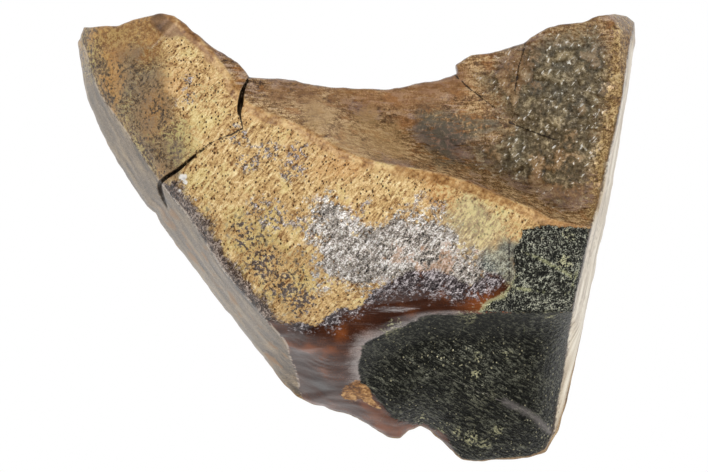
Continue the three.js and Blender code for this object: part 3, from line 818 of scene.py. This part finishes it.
# sums of which only the size counts: a number, and the noises and marks that are added to it
sizes = {
    "round": (0, dict(mid=1)),
    "fromCrest": (0.35, dict(saddle=1)),
    "fromLeftEdge": (0.02, dict(leftFlank=1)), "fromRightEdge": (0, dict(rightFlank=1, shred=0.7)),
    "fromVein": (0, dict(vein=1)), "fromSheen": (0, dict(sheen=1)), "fromHairline": (0, dict(hairline=1)),
}
glitter = dict(
    grain=dict(fibre=0.5, shred=0.4, fine=0.6, mid=0.2),
    relief=dict(fibre=0.16, shred=0.2, fine=0.04), roughening=dict(fine=0.2),
)
# the finishes: the grain picks between the dark, the middle and the light shade, and has to go as far as the
# spread from its middle to reach the ends; the relief is in mm
usual = dict(coat=0.0, metal=0, middleAt=0.0, roughening={}, layers=[])
finishes = {
    "bone": dict(
        shades=((134, 92, 46), (208, 171, 113), (255, 232, 180)), rough=0.36, spread=0.2,
        grain=dict(fine=0.5, fibre=0.7, shred=0.45, mid=0.25),
        relief=dict(fibre=0.12, fine=0.04, shred=0.07, mid=0.12), roughening=dict(shred=0.3),
        layers=[
            over((190, 126, 62), 0.4, rise(0, 0.2, broad=1, mid=0.5, shred=0.6)),
            over((206, 190, 116), 0.35, rise(0.08, 0.28, mid=1, broad=-1, fibre=0.6)),
            over((116, 74, 36), 0.6, rise(-0.11, -0.2, fibre=1, shred=0.4, fine=0.5)),
            over(
                (64, 36, 16), 0.95, rise(0.34, 0.22, spot=1, spotNumber=0.14, fine=-0.5),
                rise(0.9, 0.75, spotNumber=1, broad=-1.8, mid=-1), depth=0.1, metal=0.6,
            ),
            over((158, 142, 112), 0.75, inside("yellow", 1, 2), rise(0.24, -0.04, shred=1, mid=1, fibre=1)),
            over((206, 194, 150), 0.45, inside("yellow", 1, 2), rise(0, 0.16, shred=1, mid=1, fibre=1)),
            over((200, 190, 134), 0.5, inside("greenTint", 0.5, 5), rise(-0.04, 0.1, shred=1, fine=1)),
            over("purple", 0.85, inside("flecks", 0.3, 1.5), rise(-0.01, 0.05, shred=1, mid=0.4)),
            over(
                (66, 48, 40), 0.85, inside("speckle", 0.6, 1),
                rise(0.02, 0.1, shred=1, fibre=0.5, fine=0.4),
            ),
        ],
    ),
    "root": dict(
        shades=((58, 44, 32), (142, 112, 72), (212, 184, 134)), rough=0.3, coat=0.1, spread=0.15,
        grain=dict(fine=0.6, mid=0.3, shred=0.6),
        relief=dict(fine=0.1, shred=0.12, mid=0.18), roughening=dict(shred=0.3),
        layers=[
            over((196, 138, 62), 0.55, rise(0.04, 0.2, broad=1, mid=1, shred=1)),
            over((214, 196, 128), 0.6, rise(0.1, 0.18, shred=1, fine=0.6, broad=-1)),
            over((64, 68, 68), 0.5, rise(0.16, 0.28, mid=1, shred=-1)),
            over(
                (44, 32, 24), 0.8, rise(0.34, 0.22, spot=1, fine=0.4),
                rise(0.45, 0.35, spotNumber=1, mid=1),
            ),
            over((176, 122, 58), 0.5, inside("prongOrange", 0.7, 1.5)),
            over((108, 100, 88), 0.6, inside("greyTint", 0.8, 1.5), rise(-0.2, 0.15, mid=1, shred=1)),
            over((176, 166, 100), 0.4, inside("greenTint", 0.5, 5), rise(0.02, 0.12, shred=1, fine=1)),
        ],
    ),
    # painted shade: the darker strip on the right side of the left prong, where its surface falls away
    "rootEdgeShade": dict(
        shades=((80, 56, 36), (126, 94, 64), (160, 128, 92)), rough=0.4, metal=0.15, spread=0.14,
        grain=dict(mid=0.6, fine=0.3), relief=dict(mid=0.1),
    ),
    "crease": dict(
        shades=((24, 16, 12), (78, 54, 38), (176, 158, 144)),
        rough=0.22, coat=0.3, metal=0.3, spread=0.12, **glitter,
    ),
    # the silver finish is glossy and half metallic, and its near-white light shade also paints part of its
    # sparkle as painted highlights
    "silver": dict(
        shades=((34, 32, 32), (162, 151, 139), (252, 248, 242)),
        rough=0.22, coat=0.1, metal=0.5, spread=0.15, **glitter,
        layers=[
            over((176, 128, 86), 0.6, rise(0.1, 0.26, broad=1, mid=1, shred=1)),
            over((60, 58, 58), 0.45, rise(-0.2, -0.4, broad=1, mid=1, fibre=-1)),
        ],
    ),
    "blue": dict(
        shades=((48, 56, 56), (104, 110, 102), (176, 178, 160)),
        rough=0.28, coat=0.1, metal=0.2, spread=0.13, **glitter,
    ),
    # the purple finish is glossy, and its near-white light shade also paints part of its sparkle as painted
    # glints
    "purple": dict(
        shades=((18, 14, 20), (72, 60, 60), (204, 194, 194)),
        rough=0.18, coat=0.2, metal=0.4, spread=0.14, **glitter,
    ),
    "enamel": dict(
        shades=((34, 12, 4), (66, 32, 14), (116, 64, 30)), rough=0.24, coat=0.16, spread=0.14,
        grain=dict(broad=0.5, mid=0.3, fine=0.2),
        relief=dict(ripple=0.2, mid=0.03, streak=0.03, fine=0.012), roughening=dict(mid=0.1),
        layers=[
            over((134, 68, 24), 0.5, rise(0.04, 0.22, broad=1, mid=0.5)),
            over("purple", 1, inside("purpleBand", 0.5, 2.4)),
            # a painted sheen: pale reflection painted along the lip of the scoop
            over((200, 190, 184), 0.5, rise(0, 1.2, lip=1, fine=0.8, streak=1)),
        ],
    ),
    "patch": dict(
        shades=((84, 50, 20), (156, 108, 56), (212, 168, 110)), rough=0.5, coat=0.05, spread=0.12,
        grain=dict(shred=0.6, mid=0.4), relief=dict(shred=0.12),
    ),
    "scoop": dict(
        shades=((3, 4, 2), (28, 28, 23), (118, 118, 102)), rough=0.36, metal=0.75, spread=0.19,
        grain=dict(fine=0.4, strand=0.6, shred=0.25, mid=0.15),
        relief=dict(shred=0.1, strand=0.1, mid=0.05), roughening=dict(fine=0.3),
        layers=[
            over(
                (176, 170, 138), 0.7, rise(0.26, 0.16, spot=1, shred=1),
                rise(0.84, 0.88, spotNumber=1, broad=-1.5, mid=-1),
            ),
            over((96, 94, 74), 0.4, rise(0.2, 0.3, strand=1, broad=1, shred=0.5)),
        ],
    ),
    "chip": dict(
        shades=((3, 3, 2), (34, 34, 27), (196, 196, 176)), rough=0.28, metal=0.6, spread=0.17,
        grain=dict(fine=0.7, shred=0.5, mid=0.2),
        relief=dict(shred=0.18, fine=0.1, mid=0.2), roughening=dict(fine=0.2),
        layers=[
            over((10, 10, 8), 0.5, rise(0.02, 0.16, mid=1, broad=1, fine=-1)),
            over((190, 186, 150), 0.5, rise(0.2, 0.28, shred=1, fine=0.7, mid=0.4)),
        ],
    ),
    "saddle": dict(
        shades=((62, 40, 22), (136, 101, 62), (212, 180, 132)), rough=0.2, metal=0.08, spread=0.17,
        grain=dict(streak=0.7, fine=0.6, shred=0.4, broad=0.25),
        relief=dict(streak=0.14, fine=0.05, shred=0.12, mid=0.2), roughening=dict(shred=0.3),
        layers=[
            over((146, 122, 116), 0.5, rise(0, 0.14, streak=0.8, broad=-1)),
            over((178, 118, 58), 0.45, rise(0.06, 0.22, streak=-0.8, mid=-1)),
            over((66, 44, 30), 0.5, rise(-0.14, -0.24, streak=1, shred=0.8, mid=0.3)),
            over((134, 92, 50), 0.6, inside("orangeSaddle", 0.9, 3)),
            over((184, 150, 102), 0.55, inside("tanSaddle", 0.8, 1.5)),
            over((78, 76, 62), 0.8, inside("saddleDark", 0.6, 2.5), rise(-0.25, 0.1, streak=1, shred=-1)),
            over("lumps", 1, inside("lumpySaddle", 1.3, 2.5)),
            over((104, 108, 102), 0.35, inside("greySaddle", 1, 3), rise(-0.2, 0.2, mid=1, fine=1)),
            over("strip", 0.8, inside("rightStrip", 0.4, 2.5)),
        ],
    ),
    "lumps": dict(
        shades=((28, 21, 12), (96, 81, 55), (182, 164, 128)), rough=0.12, metal=0.2, spread=0.18,
        # the grain follows round as the relief does: painted shade in the valleys between the lumps, and
        # painted light on their tops
        grain=dict(fine=0.3, round=0.7, shred=0.5), middleAt=0.05,
        relief=dict(round=0.8, shred=0.16, fibre=0.1),
        layers=[
            over((84, 86, 74), 0.4, rise(-0.04, 0.3, broad=1, shred=0.5)),
            over((146, 98, 50), 0.4, rise(0.06, 0.24, mid=1, shred=0.5, broad=-1)),
            # painted glints: near-white specks painted on the lumps
            over((232, 228, 218), 0.8, rise(0.18, 0.27, fibre=1, shred=0.7, round=0.35, broad=0.2)),
        ],
    ),
    "strip": dict(
        shades=((64, 42, 18), (136, 104, 58), (206, 178, 124)), rough=0.28, metal=0.2, spread=0.13,
        grain=dict(shred=0.5, mid=0.3, fine=0.6), relief=dict(mid=0.12, shred=0.14),
    ),
    "crest": dict(
        shades=((104, 62, 24), (172, 126, 74), (226, 192, 136)), rough=0.35, spread=0.12,
        grain=dict(mid=0.4, shred=0.4), relief=dict(mid=0.1),
    ),
    "leftFlank": dict(
        shades=((66, 54, 42), (118, 102, 82), (168, 148, 120)),
        rough=0.36, coat=0.1, metal=0.25, spread=0.13,
        grain=dict(alongLeft=0.4, mid=0.25, fine=0.45, shred=0.2),
        relief=dict(alongLeft=0.08, mid=0.04, fine=0.03), roughening=dict(mid=0.2),
        layers=[
            over((150, 106, 56), 0.6, rise(0.1, 0.24, mid=1, broad=0.6), rise(-0.5, -2.5, prongBrown=1)),
            over("root", 1, inside("rootTip", 0.8, 1)),
        ],
    ),
    "rightFlank": dict(
        shades=((150, 128, 100), (204, 188, 162), (232, 222, 202)), rough=0.4, coat=0.2, spread=0.14,
        grain=dict(alongRight=0.8, fine=0.2), relief=dict(alongRight=0.03), roughening=dict(mid=0.2),
        layers=[over("strip", 1, inside("rightTip", 0.6, 1))],
    ),
    "underside": dict(
        shades=((92, 70, 46), (150, 120, 84), (196, 168, 126)), rough=0.6, spread=0.15,
        grain=dict(fine=0.5, mid=0.4), relief=dict(fine=0.06, mid=0.16),
    ),
}
# what lies over the bone, in this order
coverings = [
    over("root", 1, inside("prongBrown", 0.7, 1.5)),
    # painted shade on the right side of the left prong
    over("rootEdgeShade", 1, inside("prongSide", 0.25)),
    over("crease", 1, rise(-1.4, -0.7, creaseBand=1, shred=1.5), rise(0.1, -0.1, prongBrown=1, shred=0.4)),
    over("silver", 1, inside("silver", 0.6, 4)),
    over("blue", 0.85, inside("blueZone", 0.5)),
    over("enamel", 1, inside("crownEnamel", 0.12, 0.9)),
    over("patch", 1, inside("tanPatch", 0.08)),
    over("saddle", 1, inside("saddle", 0.12)),
    over("crest", 0.75, rise(0.5, 0.25, fromCrest=1, mid=0.7)),
    over("chip", 1, inside("chipBlack", 0.06, 0.5)),
    over("scoop", 1, inside("scoopBlack", 0.1, 0.6)),
    over((166, 166, 124), 0.7, rise(0.2, 0.08, fromVein=1, shred=0.6), rise(-0.05, 0.05, mid=1, shred=1)),
    over((196, 192, 150), 0.7, inside("crumbs", 0.3, 1.5), rise(0, 0.08, shred=1, fine=1)),
    over((150, 142, 138), 0.5, rise(0.45, 0, fromSheen=1, shred=0.6)),
    over("leftFlank", 1, rise(-0.05, 0.1, leftFlank=1, shred=0.2)),
    # a painted highlight along the rounded left edge
    over((206, 190, 170), 0.6, rise(0.12, 0.03, fromLeftEdge=1), rise(-0.1, 0.1, mid=1, shred=1)),
    over("rightFlank", 1, rise(-0.05, 0.1, rightFlank=1, shred=0.2)),
    over((66, 48, 34), 0.75, rise(0.2, 0.06, fromRightEdge=1), rise(-0.1, 0.1, mid=1, fine=1)),
    over("underside", 1, inside("underside", 0.15)),
    over((244, 240, 234), 0.9, inside("glints", 0.08)),
]
# the crack and the hairlines, painted dark: partly the dark of the gap itself and partly painted shade inside
# it; a hairline's depth is in mm
breaks = {
    "shade": (34, 24, 16), "share": 0.9, "hairDepth": 0.1,
    "crack": [rise(0.02, 0.3, crackCut=1)],
    "hair": [rise(0.06, 0.02, fromHairline=1, shred=0.3)],
}
gloss = {"Coat Roughness": 0.12, "IOR": 1.36}


def makeNoises(b):
    inMetres = b.node("ShaderNodeTexCoord", out="Object")
    b.place = b.vector("SCALE", {0: inMetres, "Scale": 1 / mm})
    for name, kind in grains.items():
        b.noises[name] = b.cloud(*kind) - 0.5
    b.noises["spot"], b.noises["spotNumber"] = b.cells(**pores)
    for name, (start, weights) in sizes.items():
        b.noises[name] = (b.woven(weights) + start).size()


# a finish with layers over it
def layered(b, finish, layers):
    for layer in layers:
        there = b.risen(layer["terms"])
        share = there if layer["share"] == 1 else there * layer["share"]
        if isinstance(layer["what"], str):
            top = dressed(b, layer["what"])
            colour = top["colour"]
            numbers = ("rough", "coat", "metal", "relief")
            made = {key: b.between(finish[key], top[key], share) for key in numbers}
        else:
            colour, made = paint(*layer["what"]), finish
        finish = {**made, "colour": b.blend(finish["colour"], colour, share)}
        if layer["depth"]:
            finish["relief"] = finish["relief"] - there * layer["depth"]
        if layer["metal"]:
            finish["metal"] = there * layer["metal"]
    return finish


def dressed(b, name):
    if name not in b.dressings:
        look = {**usual, **finishes[name]}
        middle = 0.5 + look["middleAt"]
        stops = [(middle + n * look["spread"], paint(*shade)) for n, shade in enumerate(look["shades"], -1)]
        value = b.woven(look["grain"]) + 0.5
        finish = {key: look[key] for key in ("rough", "coat", "metal")}
        finish["colour"] = b.node("ShaderNodeValToRGB", {"stops": stops}, {"Fac": value}, out="Color")
        finish["relief"] = b.woven(look["relief"])
        if look["roughening"]:
            finish["rough"] = b.woven(look["roughening"]) + look["rough"]
        b.dressings[name] = layered(b, finish, look["layers"])
    return b.dressings[name]


def makeToothMaterial():
    material = bpy.data.materials.new("fossilTooth")
    b = Bench(material)
    makeNoises(b)
    finish = layered(b, dressed(b, "bone"), coverings)
    # the crack and hairlines are darkened: partly their own dark and partly painted shade
    hair, crack = b.risen(breaks["hair"]), b.risen(breaks["crack"])
    broken = hair.most(crack) * breaks["share"]
    height = finish["relief"] - hair * breaks["hairDepth"]
    relief = {"Height": height, "Distance": mm, "Strength": 1.0}
    b.fit("Principled BSDF", {
        "Base Color": b.blend(finish["colour"], paint(*breaks["shade"]), broken),
        "Roughness": finish["rough"], "Coat Weight": finish["coat"], "Metallic": finish["metal"],
        "Normal": b.node("ShaderNodeBump", sockets=relief), **gloss,
    })
    return material


tooth.data.materials.clear()
tooth.data.materials.append(makeToothMaterial())
print("tooth finished")

# the studio: a white floor, dim surroundings that are pale near the floor, and soft lamps
studio = {"floorWidth": 30.0, "floorGlow": 1.0, "zenith": 0.1, "horizon": 0.42, "paleUpTo": 0.15}
# where each lamp hangs, in metres, its width and depth, and its watts
lamps = {
    "crownLamp": ((0.0, -0.36, 0.6), 0.2, 0.14, 2.6),
    "sparkLamp": ((-0.06, 0.14, 0.64), 0.07, 0.07, 0.5),
    "rightLamp": ((0.66, 0.1, 0.36), 0.4, 0.4, 2.2),
    "leftLamp": ((-0.64, 0.2, 0.36), 0.4, 0.4, 0.9),
    "rootLamp": ((-0.1, 0.6, 0.44), 0.18, 0.12, 1.6),
}


def makeFloor():
    half = studio["floorWidth"] / 2
    corners = np.array([[-half, -half, 0], [half, -half, 0], [half, half, 0], [-half, half, 0]])
    floor = bpy.data.objects.new("floor", meshOf("floor", corners, np.array([[0, 1, 2, 3]])))
    bpy.context.scene.collection.objects.link(floor)
    floorPaint = bpy.data.materials.new("floorPaint")
    Bench(floorPaint).fit("Principled BSDF", {
        "Base Color": (0, 0, 0, 1), "Roughness": 1.0, "Specular IOR Level": 0.0,
        "Emission Color": (1, 1, 1, 1), "Emission Strength": studio["floorGlow"],
    })
    floor.data.materials.append(floorPaint)


def makeSky():
    world = bpy.data.worlds.new("studio")
    bpy.context.scene.world = world
    b = Bench(world)
    way = b.node("ShaderNodeTexCoord", out="Generated")
    up = b.node("ShaderNodeSeparateXYZ", sockets={0: way}, out="Z")
    pale = 1 - b.ease(up, 0.0, studio["paleUpTo"])
    glow = pale * (studio["horizon"] - studio["zenith"]) + studio["zenith"]
    b.fit("Background", {"Color": (1, 1, 1, 1), "Strength": glow})


def makeLamp(name, place, width, depth, watts):
    data = bpy.data.lights.new(name, "AREA")
    data.shape = "RECTANGLE"
    data.size, data.size_y = width, depth
    data.energy = watts
    lamp = bpy.data.objects.new(name, data)
    lamp.location = place
    aim = -lamp.location.normalized()
    lamp.rotation_euler = aim.to_track_quat("-Z", "Y").to_euler()
    bpy.context.scene.collection.objects.link(lamp)


makeFloor()
makeSky()
for name, lamp in lamps.items():
    makeLamp(name, *lamp)
bpy.context.scene.view_settings.view_transform = "Standard"
print("studio made")
